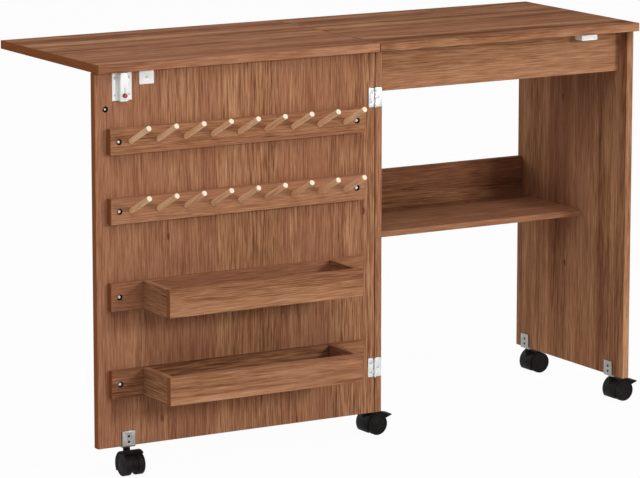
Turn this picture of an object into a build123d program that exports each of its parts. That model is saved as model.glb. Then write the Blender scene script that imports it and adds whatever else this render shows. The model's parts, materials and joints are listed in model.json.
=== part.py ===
"""Folding sewing table on casters: a cabinet with a fold-over leaf and a storage door that carries it.

Millimetres, +X to the right, +Y to the rear, +Z up. The origin is on the floor, under the middle of the
whole outline with the door open and the leaf laid out.
"""
from build123d import *
import math
import os

# Overall sizes
table_height = 762.0  # floor to work surface
cabinet_width = 588.0  # outside faces of the side panels
cabinet_depth = 380.0  # front edge to rear edge of a side panel

# Boards
board = 15.0  # side panels, aprons, door and shelf rail
top_thickness = 16.0
shelf_thickness = 12.0
edge_break = 0.6  # chamfer on the board edges
apron_height = 82.0
apron_recess = 28.0  # front apron behind the front edges of the side panels
shelf_rise = 316.0  # lower edge of the side panels to the shelf's upper face
shelf_setback = 151.0  # shelf front edge behind the front edges of the side panels
shelf_rail_height = 78.0  # above the shelf

# Door and leaf
door_overhang = 0.5  # shut door past the right side panel
door_gap = 1.0  # door edge to the left side panel
door_top_gap = 1.0  # leaf underside to the top edge of the door
leaf_overhang = 1.5  # leaf past the free edge of the open door
seam_gap = 1.0

# Board screws through the side panels
panel_screw_radius = 2.5
panel_screw_length = 50.0
panel_screw_head_radius = 4.5
panel_screw_head_height = 3.0
panel_screw_edge = 20.0  # from the end of each joint to its screws

# Storage on the door
rail_height = 47.5
rail_free_inset = 23.5  # rails and bin boards, from the free edge of the door
rail_hinge_inset = 30.0  # and from its hinged edge
upper_rail_drop = 125.5  # top edge of the door to the middle of the upper rail
rack_gap_share = 0.2675  # rail to rail, of the free height between the racks and bins
rack_to_bin_share = 0.3633  # lower rail to upper bin, and the rest lies between the bins
peg_count = 9
peg_margin = 42.3  # end of the rail to its first peg
peg_radius = 5.0
peg_length = 76.0
peg_tilt = 25.0
peg_seat = 9.0  # depth of the peg in the rail
bin_board = 12.0
bin_height = 52.0
bin_shoulder = 64.5  # bin board past each side of the bin
bin_depth = 104.0  # back board to the front face
bin_bottom = 9.0
lower_bin_rise = 119.3  # lower edge of the door to the middle of the lower bin
storage_screw_inset = 17.5
storage_screw_bite = 11.5  # depth of the screws in the door
storage_screw_radius = 2.0
storage_screw_head_radius = 3.2
storage_screw_head_height = 1.4
storage_screw_recess_radius = 5.0
storage_screw_recess = 2.8

# Hinges of the door
hinge_height = 36.0
hinge_inset = 88.0  # hinge centre to the ends of the side panel
hinge_plate = 1.2
hinge_plate_width = 12.5
hinge_corner = 1.5
hinge_screw_inset = 9.0  # ends of the plate to its two screws
hinge_tongue_lap = 0.6  # knuckle tongues into the plate
hinge_pin_head = 1.0
hinge_pin_head_step = 0.4  # pin heads inside the knuckles' outline
knuckle_radius = 2.2
hinge_pin_radius = 1.1
knuckle_count = 5

# Hinges of the leaf
leaf_hinge_length = 50.0
leaf_hinge_inset = 75.0  # hinge centre to the front and rear edges of the top
leaf_plate = 1.0
leaf_plate_height = 11.0
leaf_knuckle_radius = 1.6
leaf_pin_radius = 0.8
leaf_axis_lift = 0.3  # hinge axis above the work surface

# Thumb bolt, strike and magnetic catch
latch_from_edge = 55.2  # free edge of the door to the bolt
latch_width = 39.5
latch_height = 51.0
latch_top_gap = 1.3  # door edge to the plate
latch_sheet = 1.2
channel_width = 18.3
channel_height = 11.5
latch_bend = 3.6  # outside radius of the cover's bends
bolt_travel = 12.0
bolt_tail = 1.0  # tail below the plate
bolt_nose = 1.2
bolt_knob_height = 10.0  # above the lower edge of the plate
bolt_knob_radius = 4.0
bolt_knob_reach = 6.0
bolt_knob_taper = 1.4  # bevel round the knob's front
bolt_knob_stem_radius = 1.2
cup_wall = 1.2
latch_screw_spacing_x = 29.0
latch_screw_spacing_z = 30.0
strike_from_edge = 105.5  # free edge of the door to the strike
strike_width = 30.0
strike_height = 24.5
strike_sheet = 1.5
strike_top_gap = 1.5
strike_corner = 2.0
catch_width = 36.0
catch_depth = 24.0
catch_height = 13.0
catch_ear = 9.0
catch_ear_height = 3.0
catch_ear_depth = 14.4
catch_corner = 1.5
catch_wall = 2.5
pole_plate = 1.6
pole_reach = 0.6  # pole edges in front of the housing
catch_gap = 0.3  # strike to the pole edges when the door is shut

# Door knob
knob_from_edge = 21.7
knob_from_top = 66.5
knob_radius = 11.0
knob_length = 21.0
knob_neck_radius = 6.0
knob_foot_radius = 8.0
knob_foot_height = 3.0
knob_neck_height = 8.5
knob_belly_height = 13.0
knob_rim = 4.0  # straight rim in front of the belly
knob_front_radius = 8.0  # flat front
knob_screw_bite = 14.0

# Small hardware screws
hardware_screw_radius = 1.3
hardware_screw_head_radius = 2.6
hardware_screw_head_height = 0.9
hardware_screw_length = 11.0
flat_screw_head_height = 0.35  # heads inside the leaf seam

# Casters
wheel_radius = 21.0
wheel_width = 13.0
wheel_gap = 0.5  # wheel to hood web
hood_web = 12.0
trail = 17.0  # swivel axis to axle
axle_radius = 3.0
stem_radius = 4.0
stem_depth = 21.0
hood_neck_radius = 6.6
neck_rise = 1.7  # swivel neck above the canopy
neck_sink = 1.2  # neck's root inside the canopy's inner face
canopy_gap = 1.5
canopy_wall = 3.0
canopy_front_angle = 215.0
canopy_rear_angle = 60.0
web_cut = 8.0  # flat foot of the web below the axle
web_relief = 1.5  # web edge inside the tread
swivel_gap = 0.3
collar_radius = 5.6
collar_height = 2.0  # between the swivel neck and the bracket
bracket_sheet = 2.5
bracket_width = 27.0
bracket_height = 30.5
bracket_screw_spacing = 10.7
front_caster_inset = 47.0
rear_caster_inset = 34.0
door_caster_from_edge = 62.0
lever_reach = 35.0  # lever tip behind the axle
lever_tip_height = 15.5  # above the axle
lever_tip_thickness = 1.6
lever_width = 26.0
lever_gap = 2.4  # tread to the brake face of the lever
lever_pivot_angle = 66.0  # angles about the axle, from the trailing side upwards
lever_heel_angle = 60.0
lever_toe_angle = 22.0
lever_crown_angle = 62.0
lever_crown_rise = 1.2  # lever's back above the canopy
lever_back_dip = 1.8  # hollow of the lever's back
lever_pin_radius = 1.3
lever_pin_inset = 1.5  # pin ends inside the canopy's sides
lever_eye_radius = 2.4
lever_side_gap = 0.3
lever_notch_angle = 88.0  # front edge of the canopy's notch
lever_notch_margin = 5.0
tread_bevel = 2.0
rim_ring = 2.0
cover_sink = 0.6  # flat cover behind the rim
axle_cover = 3.5  # wheel's outer side to the axle's end
hood_hub_radius = 6.0

# Clearances
running_gap = 0.08  # radial, pins and axles that turn
seat_gap = 0.05  # radial or per side, pieces that are pushed together
slide_gap = 0.3  # per side, sliding and swinging pieces

# Reference planes worked out from the sizes above
hinge_axis_left = door_gap / 2  # hinge line left of the left side panel
door_width = cabinet_width + door_overhang
leaf_reach = door_gap + door_width + leaf_overhang
lever_side_reach = cabinet_width - board / 2 + trail + lever_reach
axle_height = wheel_radius
canopy_inner = wheel_radius + canopy_gap
canopy_outer = canopy_inner + canopy_wall
canopy_middle = (canopy_inner + canopy_outer) / 2
hood_top = axle_height + canopy_outer + neck_rise
flange_underside = hood_top + swivel_gap + collar_height
caster_lift = flange_underside + bracket_sheet  # floor to the lower edges of the side panels and the door
neck_base = axle_height + math.sqrt(canopy_inner**2 - trail**2) - neck_sink
bin_reach = bin_board + bin_depth
left_face = (leaf_reach - lever_side_reach) / 2
right_face = left_face + cabinet_width
front_edge = (bin_reach - cabinet_depth) / 2
rear_edge = front_edge + cabinet_depth
inner_left = left_face + board
inner_right = right_face - board
top_underside = table_height - top_thickness
hinge_x = left_face - hinge_axis_left
hinge_y = front_edge - knuckle_radius - seat_gap
door_shut_face = 2 * hinge_y - front_edge
top_front = door_shut_face - board
door_edge = left_face - door_gap
door_free_edge = door_edge - door_width
door_top = top_underside - door_top_gap
shelf_top_z = caster_lift + shelf_rise
rail_left = door_free_edge + rail_free_inset
rail_right = door_edge - rail_hinge_inset
upper_rail_z = door_top - upper_rail_drop
lower_bin_z = caster_lift + lower_bin_rise
storage_free_height = upper_rail_z - lower_bin_z - 1.5 * (rail_height + bin_height)
lower_rail_z = upper_rail_z - rail_height - storage_free_height * rack_gap_share
upper_bin_z = lower_rail_z - (rail_height + bin_height) / 2 - storage_free_height * rack_to_bin_share
rail_centres = [upper_rail_z, lower_rail_z]
bin_centres = [upper_bin_z, lower_bin_z]
hinge_centres = [top_underside - hinge_inset, caster_lift + hinge_inset]
leaf_hinge_centres = [top_front + leaf_hinge_inset, rear_edge - leaf_hinge_inset]
leaf_axis_z = table_height + leaf_axis_lift
leaf_end = hinge_x - seam_gap / 2
leaf_free_end = left_face - leaf_reach
fixed_end = hinge_x + seam_gap / 2
latch_x = door_free_edge + latch_from_edge
latch_top = door_top - latch_top_gap
latch_base = latch_top - latch_height
latch_middle = latch_base + latch_height / 2
bolt_knob_z = latch_base + bolt_knob_height
bolt_width = channel_width - 2 * latch_sheet - 2 * slide_gap
bolt_thickness = channel_height - latch_sheet - 2 * slide_gap
bolt_y = front_edge - slide_gap - bolt_thickness / 2
bolt_length = latch_height + bolt_tail
bolt_edge = 0.75 * (latch_bend - latch_sheet)  # chamfer under the cover's bends
cup_depth = bolt_travel
cup_width = bolt_width + 2 * slide_gap + 2 * cup_wall
cup_thickness = bolt_thickness + 2 * slide_gap + 2 * cup_wall
strike_x = door_free_edge + strike_from_edge
strike_z = door_top - strike_top_gap - strike_height / 2
catch_x = 2 * hinge_x - strike_x
catch_front = door_shut_face + strike_sheet + catch_gap + pole_reach
knob_x = door_free_edge + knob_from_edge
knob_z = door_top - knob_from_top
bracket_screw_z = flange_underside + bracket_height / 2
wheel_inner = hood_web / 2 + wheel_gap
wheel_outer = wheel_inner + wheel_width
axle_end = wheel_outer - axle_cover

MIN_UP = (Align.CENTER, Align.CENTER, Align.MIN)
MAX_DOWN = (Align.CENTER, Align.CENTER, Align.MAX)

os.makedirs("parts", exist_ok=True)


def save(builder, name):
    """Label a finished piece and write it under its own name."""
    builder.part.label = name
    export_step(builder.part, f"parts/{name}.step")


def board_blank(x_range, y_range, z_range):
    """A board between two corners, with its edges broken."""
    sizes = [end - start for start, end in (x_range, y_range, z_range)]
    centre = tuple((start + end) / 2 for start, end in (x_range, y_range, z_range))
    with Locations(centre):
        blank = Box(*sizes)
    chamfer(blank.edges(), edge_break)


def drill(seats, radius, depth):
    """Holes along the way the seats face, inwards from each seat."""
    with Locations(*seats):
        Cylinder(radius, depth, align=MAX_DOWN, mode=Mode.SUBTRACT)


def screws(seats, shank_radius, length, head_radius, head_height):
    """Screws with a low tapered head standing on each seat."""
    with BuildSketch(Plane.XZ, mode=Mode.PRIVATE) as half:
        with BuildLine():
            Polyline((0, head_height), (0, -length), (shank_radius, -length), (shank_radius, 0),
                     (head_radius, 0), (head_radius - head_height, head_height), close=True)
        make_face()
    with BuildPart(mode=Mode.PRIVATE) as screw:
        add(half.sketch)
        revolve(axis=Axis.Z)
    with Locations(*seats):
        add(screw.part)


def seat(x, y, z, facing):
    """A plane at a screw's seat, looking along the way the head faces."""
    return Plane(origin=(x, y, z), z_dir=facing)


# Screw seats, shared by the screws and the holes that take them
apron_mid_y = [front_edge + apron_recess + board / 2, rear_edge - board / 2]
apron_screw_z = [top_underside - panel_screw_edge, top_underside - apron_height + panel_screw_edge]
shelf_front = front_edge + shelf_setback
shelf_back = rear_edge - board
shelf_mid_z = shelf_top_z - shelf_thickness / 2
shelf_rail_mid_z = shelf_top_z + shelf_rail_height / 2
panel_joints = [(y, z) for y in apron_mid_y for z in apron_screw_z]
shelf_screw_y = [shelf_front + panel_screw_edge, shelf_back - panel_screw_edge]
panel_joints += [(y, shelf_mid_z) for y in shelf_screw_y]
panel_joints += [(rear_edge - board / 2, shelf_rail_mid_z)]
left_panel_seats = [seat(left_face, y, z, (-1, 0, 0)) for y, z in panel_joints]
right_panel_seats = [seat(right_face, y, z, (1, 0, 0)) for y, z in panel_joints]
panel_seats = left_panel_seats + right_panel_seats

storage_screw_x = [rail_left + storage_screw_inset, rail_right - storage_screw_inset]
rail_face = front_edge - board
bin_back_face = front_edge - bin_board
rail_recess_y = rail_face + storage_screw_recess
bin_recess_y = bin_back_face + storage_screw_recess
rail_screw_length = board - storage_screw_recess + storage_screw_bite
bin_screw_length = bin_board - storage_screw_recess + storage_screw_bite
rail_seats = [seat(x, rail_recess_y, z, (0, -1, 0)) for x in storage_screw_x for z in rail_centres]
bin_seats = [seat(x, bin_recess_y, z, (0, -1, 0)) for x in storage_screw_x for z in bin_centres]

hinge_screw_offset = hinge_height / 2 - hinge_screw_inset
hinge_plate_face = front_edge - hinge_plate
door_plate_middle = hinge_x - knuckle_radius - hinge_plate_width / 2
cabinet_plate_middle = hinge_x + knuckle_radius + hinge_plate_width / 2
door_hinge_seats = [seat(door_plate_middle, hinge_plate_face, z + side * hinge_screw_offset, (0, -1, 0))
                    for z in hinge_centres for side in (-1, 1)]
cabinet_hinge_seats = [seat(left_face + board / 2, hinge_plate_face, z, (0, -1, 0)) for z in hinge_centres]

leaf_screw_z = leaf_axis_z - leaf_knuckle_radius - leaf_plate_height / 2
leaf_screw_y = [y + side * leaf_hinge_length / 4 for y in leaf_hinge_centres for side in (-1, 1)]
leaf_seats = [seat(leaf_end, y, leaf_screw_z, (1, 0, 0)) for y in leaf_screw_y]
fixed_seats = [seat(fixed_end, y, leaf_screw_z, (-1, 0, 0)) for y in leaf_screw_y]

latch_seats = [seat(latch_x + sx * latch_screw_spacing_x / 2, front_edge - latch_sheet,
                    latch_middle + sz * latch_screw_spacing_z / 2, (0, -1, 0))
               for sx in (-1, 1) for sz in (-1, 1)]
strike_seats = [seat(strike_x, front_edge - strike_sheet, strike_z, (0, -1, 0))]
catch_middle_y = catch_front + catch_depth / 2
catch_seats = [seat(catch_x + side * (catch_width + catch_ear) / 2, catch_middle_y,
                    top_underside - catch_ear_height, (0, 0, -1)) for side in (-1, 1)]
knob_seat = seat(knob_x, front_edge + storage_screw_recess, knob_z, (0, -1, 0))

# Caster places: swivel axis, trailing direction, and the way the bracket's board face looks
right_stem_x = right_face - board / 2
left_stem_x = left_face + board / 2
front_stem_y = front_edge + front_caster_inset
rear_stem_y = rear_edge - rear_caster_inset
door_stem = (door_free_edge + door_caster_from_edge, front_edge + board / 2)
casters = {
    "left_front": ((left_stem_x, front_stem_y), (1, 0, 0), (1, 0, 0), True),
    "left_rear": ((left_stem_x, rear_stem_y), (1, 0, 0), (1, 0, 0), False),
    "right_front": ((right_stem_x, front_stem_y), (1, 0, 0), (-1, 0, 0), True),
    "right_rear": ((right_stem_x, rear_stem_y), (1, 0, 0), (-1, 0, 0), False),
    "door": (door_stem, (0, -1, 0), (0, -1, 0), False),
}


def bracket_seats(stem, facing):
    """The two screw seats of a caster bracket."""
    reach = board / 2 + bracket_sheet
    return [seat(stem[0] + facing[0] * reach, stem[1] + facing[1] * reach,
                 bracket_screw_z + side * bracket_screw_spacing / 2, facing) for side in (-1, 1)]


caster_seats = {name: bracket_seats(stem, facing) for name, (stem, _, facing, _) in casters.items()}
left_bracket_seats = caster_seats["left_front"] + caster_seats["left_rear"]
right_bracket_seats = caster_seats["right_front"] + caster_seats["right_rear"]
pilot_radius = hardware_screw_radius + seat_gap
hardware_pilot = hardware_screw_length + seat_gap


def leaf_hinge_cut(end, inward):
    """Pocket for the plates and notch for the knuckles, in the end of a top board."""
    reach = leaf_knuckle_radius + slide_gap
    pocket_depth = leaf_plate + seat_gap
    pocket_height = table_height - leaf_axis_z + leaf_knuckle_radius + leaf_plate_height + seat_gap
    for y in leaf_hinge_centres:
        with Locations((end + inward * pocket_depth / 2, y, table_height)):
            Box(pocket_depth, leaf_hinge_length + 2 * slide_gap, 2 * pocket_height, mode=Mode.SUBTRACT)
        with Locations((hinge_x, y, leaf_axis_z)):
            Box(2 * reach, leaf_hinge_length + 2 * slide_gap, 2 * reach, mode=Mode.SUBTRACT)


# Cabinet boards
with BuildPart() as fixed_top:
    board_blank((fixed_end, right_face), (top_front, rear_edge), (top_underside, table_height))
    leaf_hinge_cut(fixed_end, 1)
    drill(fixed_seats, pilot_radius, hardware_pilot)
    drill(catch_seats, pilot_radius, hardware_pilot)
save(fixed_top, "fixed_top")

with BuildPart() as left_side_panel:
    board_blank((left_face, inner_left), (front_edge, rear_edge), (caster_lift, top_underside))
    drill(left_panel_seats, panel_screw_head_radius + seat_gap, panel_screw_head_height)
    drill(left_panel_seats, panel_screw_radius + seat_gap, board)
    drill(cabinet_hinge_seats, pilot_radius, hardware_pilot)
    drill(left_bracket_seats, pilot_radius, hardware_pilot)
save(left_side_panel, "left_side_panel")

with BuildPart() as right_side_panel:
    board_blank((inner_right, right_face), (front_edge, rear_edge), (caster_lift, top_underside))
    drill(right_panel_seats, panel_screw_head_radius + seat_gap, panel_screw_head_height)
    drill(right_panel_seats, panel_screw_radius + seat_gap, board)
    drill(right_bracket_seats, pilot_radius, hardware_pilot)
save(right_side_panel, "right_side_panel")

apron_z = (top_underside - apron_height, top_underside)
apron_y_ranges = {
    "front_apron": (front_edge + apron_recess, front_edge + apron_recess + board),
    "rear_apron": (rear_edge - board, rear_edge),
}
for apron_name, apron_y in apron_y_ranges.items():
    with BuildPart() as apron:
        board_blank((inner_left, inner_right), apron_y, apron_z)
        drill(panel_seats, panel_screw_radius + seat_gap, panel_screw_length + seat_gap)
    save(apron, apron_name)

with BuildPart() as shelf:
    board_blank((inner_left, inner_right), (shelf_front, shelf_back),
                (shelf_top_z - shelf_thickness, shelf_top_z))
    drill(panel_seats, panel_screw_radius + seat_gap, panel_screw_length + seat_gap)
save(shelf, "shelf")

with BuildPart() as shelf_back_rail:
    board_blank((inner_left, inner_right), (shelf_back, rear_edge),
                (shelf_top_z - shelf_thickness, shelf_top_z + shelf_rail_height))
    drill(panel_seats, panel_screw_radius + seat_gap, panel_screw_length + seat_gap)
save(shelf_back_rail, "shelf_back_rail")

with BuildPart() as panel_screws:
    sunk_seats = [p.offset(-panel_screw_head_height) for p in panel_seats]
    screws(sunk_seats, panel_screw_radius, panel_screw_length - panel_screw_head_height,
           panel_screw_head_radius, panel_screw_head_height)
save(panel_screws, "panel_screws")

# Leaf with the cup that takes the thumb bolt
with BuildPart() as leaf_top:
    board_blank((leaf_free_end, leaf_end), (top_front, rear_edge), (top_underside, table_height))
    leaf_hinge_cut(leaf_end, -1)
    drill(leaf_seats, pilot_radius, hardware_pilot)
    with Locations((latch_x, bolt_y, top_underside)):
        Box(cup_width + 2 * seat_gap, cup_thickness + 2 * seat_gap, 2 * (cup_depth + seat_gap),
            mode=Mode.SUBTRACT)
save(leaf_top, "leaf_top")

with BuildPart() as leaf_bolt_cup:
    with Locations((latch_x, bolt_y, top_underside)):
        Box(cup_width, cup_thickness, cup_depth, align=MIN_UP)
        Box(cup_width - 2 * cup_wall, cup_thickness - 2 * cup_wall, 2 * (cup_depth - cup_wall),
            mode=Mode.SUBTRACT)
save(leaf_bolt_cup, "leaf_bolt_cup")


def knuckle_spans(middle, length, mine):
    """Centres and lengths of every second knuckle along a hinge, from the first or the second on."""
    step = length / knuckle_count
    first = middle - length / 2 + step / 2
    return [(first + i * step, step - slide_gap) for i in range(mine, knuckle_count, 2)]


def leaf_hinge_plates(end, side, mine, seats):
    """Plates let into the end of a top board, with their knuckles round the seam's axis."""
    low = leaf_axis_z - leaf_knuckle_radius - leaf_plate_height
    high = leaf_axis_z - leaf_knuckle_radius - slide_gap
    for y in leaf_hinge_centres:
        with Locations((end + side * leaf_plate / 2, y, (low + high) / 2)):
            Box(leaf_plate, leaf_hinge_length, high - low)
        for middle, length in knuckle_spans(y, leaf_hinge_length, mine):
            with Locations((end + side * leaf_plate / 2, middle, high)):
                Box(leaf_plate, length, 2 * (leaf_axis_z - high - leaf_pin_radius))
            with Locations(Plane(origin=(hinge_x, middle, leaf_axis_z), z_dir=(0, 1, 0))):
                Cylinder(leaf_knuckle_radius, length)
    for y in leaf_hinge_centres:
        with Locations(Plane(origin=(hinge_x, y, leaf_axis_z), z_dir=(0, 1, 0))):
            Cylinder(leaf_pin_radius + running_gap, leaf_hinge_length, mode=Mode.SUBTRACT)
    drill(seats, pilot_radius, leaf_plate)


with BuildPart() as leaf_hinge_fixed_plates:
    leaf_hinge_plates(fixed_end, 1, 0, fixed_seats)
save(leaf_hinge_fixed_plates, "leaf_hinge_fixed_plates")

with BuildPart() as leaf_hinge_leaf_plates:
    leaf_hinge_plates(leaf_end, -1, 1, leaf_seats)
save(leaf_hinge_leaf_plates, "leaf_hinge_leaf_plates")

with BuildPart() as leaf_hinge_pins:
    with Locations(*[Plane(origin=(hinge_x, y, leaf_axis_z), z_dir=(0, 1, 0)) for y in leaf_hinge_centres]):
        Cylinder(leaf_pin_radius, leaf_hinge_length - slide_gap)
save(leaf_hinge_pins, "leaf_hinge_pins")

with BuildPart() as leaf_hinge_screws:
    screws(leaf_seats, hardware_screw_radius, hardware_screw_length, hardware_screw_head_radius,
           flat_screw_head_height)
save(leaf_hinge_screws, "leaf_hinge_screws")

# Door board
with BuildPart() as door_panel:
    board_blank((door_free_edge, door_edge), (front_edge, front_edge + board), (caster_lift, door_top))
    drill(rail_seats, storage_screw_radius + seat_gap, rail_screw_length + seat_gap)
    drill(bin_seats, storage_screw_radius + seat_gap, bin_screw_length + seat_gap)
    drill(door_hinge_seats + latch_seats + strike_seats, pilot_radius, hardware_pilot)
    drill(caster_seats["door"], pilot_radius, hardware_pilot)
    drill([knob_seat.offset(storage_screw_recess)], storage_screw_recess_radius, storage_screw_recess)
    drill([knob_seat], storage_screw_radius + seat_gap, board)
save(door_panel, "door_panel")

with BuildPart() as door_knob:
    knob_base = Plane(origin=(knob_x, front_edge + board, knob_z), x_dir=(1, 0, 0), z_dir=(0, 0, 1))
    with BuildSketch(knob_base):
        with BuildLine():
            Polyline((0, knob_length), (0, 0), (knob_foot_radius, 0), (knob_neck_radius, knob_foot_height),
                     (knob_neck_radius, knob_neck_height), (knob_radius, knob_belly_height),
                     (knob_radius, knob_belly_height + knob_rim), (knob_front_radius, knob_length),
                     close=True)
        make_face()
    revolve(axis=Axis(knob_base.origin, (0, 1, 0)))
    with Locations(Plane(knob_base.origin, z_dir=(0, 1, 0))):
        Cylinder(storage_screw_radius + seat_gap, 2 * (knob_screw_bite + seat_gap), mode=Mode.SUBTRACT)
save(door_knob, "door_knob")

# Spool racks: a rail with nine slanted pegs
peg_pitch = (rail_right - rail_left - 2 * peg_margin) / (peg_count - 1)
peg_x = [rail_left + peg_margin + i * peg_pitch for i in range(peg_count)]
peg_tangent = Vector(0, -1, 0).rotate(Axis.X, -peg_tilt)


def peg_seats(z):
    """Where the pegs of one rack leave the rail, looking along the pegs."""
    return [Plane(origin=(x, rail_face, z), x_dir=(1, 0, 0), z_dir=peg_tangent) for x in peg_x]


for rack_name, rail_z in zip(("upper", "lower"), rail_centres):
    row_seats = [p for p in rail_seats if abs(p.origin.Z - rail_z) < rail_height / 2]
    with BuildPart() as spool_rail:
        board_blank((rail_left, rail_right), (rail_face, front_edge),
                    (rail_z - rail_height / 2, rail_z + rail_height / 2))
        drill([p.offset(storage_screw_recess) for p in row_seats], storage_screw_recess_radius,
              storage_screw_recess)
        drill(row_seats, storage_screw_radius + seat_gap, board)
        drill([p.offset(peg_radius) for p in peg_seats(rail_z)], peg_radius + seat_gap,
              peg_radius + peg_seat + seat_gap)
    save(spool_rail, f"{rack_name}_spool_rail")

    with BuildPart() as spool_pegs:
        with Locations(*[p.offset(-peg_seat) for p in peg_seats(rail_z)]):
            Cylinder(peg_radius, peg_length + peg_seat, align=MIN_UP)
        chamfer(spool_pegs.edges().filter_by(GeomType.CIRCLE).group_by(Axis.Y)[0], edge_break)
    save(spool_pegs, f"{rack_name}_spool_pegs")

# Bins: back board, front, two sides and a bottom
bin_left = rail_left + bin_shoulder
bin_right = rail_right - bin_shoulder
bin_front_face = front_edge - bin_reach
bin_front_inner = bin_front_face + bin_board
for bin_name, bin_z in zip(("upper", "lower"), bin_centres):
    bin_low = bin_z - bin_height / 2
    bin_high = bin_z + bin_height / 2
    row_seats = [p for p in bin_seats if abs(p.origin.Z - bin_z) < bin_height / 2]
    with BuildPart() as bin_back_board:
        board_blank((rail_left, rail_right), (bin_back_face, front_edge), (bin_low, bin_high))
        drill([p.offset(storage_screw_recess) for p in row_seats], storage_screw_recess_radius,
              storage_screw_recess)
        drill(row_seats, storage_screw_radius + seat_gap, bin_board)
    save(bin_back_board, f"{bin_name}_bin_back_board")

    with BuildPart() as bin_front:
        board_blank((bin_left, bin_right), (bin_front_face, bin_front_inner), (bin_low, bin_high))
    save(bin_front, f"{bin_name}_bin_front")

    with BuildPart() as bin_sides:
        for start in (bin_left, bin_right - bin_board):
            board_blank((start, start + bin_board), (bin_front_inner, bin_back_face), (bin_low, bin_high))
    save(bin_sides, f"{bin_name}_bin_sides")

    with BuildPart() as bin_bottom_board:
        board_blank((bin_left + bin_board, bin_right - bin_board), (bin_front_inner, bin_back_face),
                    (bin_low, bin_low + bin_bottom))
    save(bin_bottom_board, f"{bin_name}_bin_bottom")

with BuildPart() as storage_screws:
    screws(rail_seats, storage_screw_radius, rail_screw_length, storage_screw_head_radius,
           storage_screw_head_height)
    screws(bin_seats, storage_screw_radius, bin_screw_length, storage_screw_head_radius,
           storage_screw_head_height)
save(storage_screws, "storage_screws")


def door_hinge_plates(middle_x, side, mine, seats):
    """Surface plates with every second knuckle, and the bore for the pin."""
    for z in hinge_centres:
        with Locations((middle_x, front_edge - hinge_plate / 2, z)):
            plate = Box(hinge_plate_width - 2 * slide_gap, hinge_plate, hinge_height)
        chamfer(plate.edges().filter_by(Axis.Y).group_by(Axis.X)[0 if side < 0 else -1], hinge_corner)
        for centre, length in knuckle_spans(z, hinge_height, mine):
            with Locations((hinge_x, front_edge - hinge_plate / 2, centre)):
                Box(knuckle_radius + slide_gap + hinge_tongue_lap, hinge_plate, length,
                    align=(Align.MAX if side < 0 else Align.MIN, Align.CENTER, Align.CENTER))
            with Locations((hinge_x, hinge_y, centre)):
                Cylinder(knuckle_radius, length)
    with Locations(*[(hinge_x, hinge_y, z) for z in hinge_centres]):
        Cylinder(hinge_pin_radius + running_gap, hinge_height, mode=Mode.SUBTRACT)
    drill(seats, pilot_radius, hinge_plate)


with BuildPart() as door_hinge_cabinet_plates:
    door_hinge_plates(cabinet_plate_middle, 1, 0, cabinet_hinge_seats)
save(door_hinge_cabinet_plates, "door_hinge_cabinet_plates")

with BuildPart() as door_hinge_door_plates:
    door_hinge_plates(door_plate_middle, -1, 1, door_hinge_seats)
save(door_hinge_door_plates, "door_hinge_door_plates")

with BuildPart() as door_hinge_pins:
    with Locations(*[(hinge_x, hinge_y, z) for z in hinge_centres]):
        Cylinder(hinge_pin_radius, hinge_height)
    head_offset = (hinge_height + hinge_pin_head) / 2
    head_z = [z + side * head_offset for z in hinge_centres for side in (-1, 1)]
    with Locations(*[(hinge_x, hinge_y, z) for z in head_z]):
        Cylinder(knuckle_radius - hinge_pin_head_step, hinge_pin_head)
save(door_hinge_pins, "door_hinge_pins")

# Thumb bolt: hat-section cover, sliding bolt and its knob
slot_width = 2 * bolt_knob_stem_radius + 2 * slide_gap
with BuildPart() as latch_cover:
    with BuildSketch(Plane.XY.offset(latch_base)):
        with Locations((latch_x, front_edge - latch_sheet / 2)):
            Rectangle(latch_width, latch_sheet)
        with Locations((latch_x, front_edge - channel_height / 2)):
            Rectangle(channel_width, channel_height)
        with Locations((latch_x, front_edge - (channel_height - latch_sheet) / 2)):
            Rectangle(channel_width - 2 * latch_sheet, channel_height - latch_sheet, mode=Mode.SUBTRACT)
    extrude(amount=latch_height)
    fillet(latch_cover.edges().filter_by(Axis.Z).group_by(Axis.Y)[1], latch_bend - latch_sheet)
    fillet(latch_cover.edges().filter_by(Axis.Z).group_by(Axis.Y)[0], latch_bend)
    slot_face = Plane(origin=(latch_x, front_edge - channel_height, bolt_knob_z + bolt_travel / 2),
                      x_dir=(0, 0, 1), z_dir=(0, -1, 0))
    with BuildSketch(slot_face):
        SlotCenterToCenter(bolt_travel, slot_width)
    extrude(amount=-latch_sheet, mode=Mode.SUBTRACT)
    drill(latch_seats, pilot_radius, latch_sheet)
save(latch_cover, "latch_cover")

with BuildPart() as latch_bolt:
    with Locations((latch_x, bolt_y, latch_base - bolt_tail)):
        Box(bolt_width, bolt_thickness, bolt_length, align=MIN_UP)
    chamfer(latch_bolt.edges().filter_by(Axis.Z).group_by(Axis.Y)[0], bolt_edge)
    chamfer(latch_bolt.faces().sort_by(Axis.Z)[-1].edges(), bolt_nose)
    drill([seat(latch_x, front_edge - channel_height, bolt_knob_z, (0, -1, 0))],
          bolt_knob_stem_radius + seat_gap, channel_height - slide_gap)
save(latch_bolt, "latch_bolt")

with BuildPart() as latch_bolt_knob:
    knob_plane = Plane(origin=(latch_x, front_edge - channel_height, bolt_knob_z), x_dir=(1, 0, 0),
                       z_dir=(0, 0, -1))
    shoulder = slide_gap
    root = -(channel_height - 2 * slide_gap)
    with BuildSketch(knob_plane):
        with BuildLine():
            Polyline((0, bolt_knob_reach), (0, root), (bolt_knob_stem_radius, root),
                     (bolt_knob_stem_radius, shoulder), (bolt_knob_radius, shoulder),
                     (bolt_knob_radius, bolt_knob_reach - bolt_knob_taper),
                     (bolt_knob_radius - bolt_knob_taper, bolt_knob_reach), close=True)
        make_face()
    revolve(axis=Axis(knob_plane.origin, (0, 1, 0)))
save(latch_bolt_knob, "latch_bolt_knob")

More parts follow.
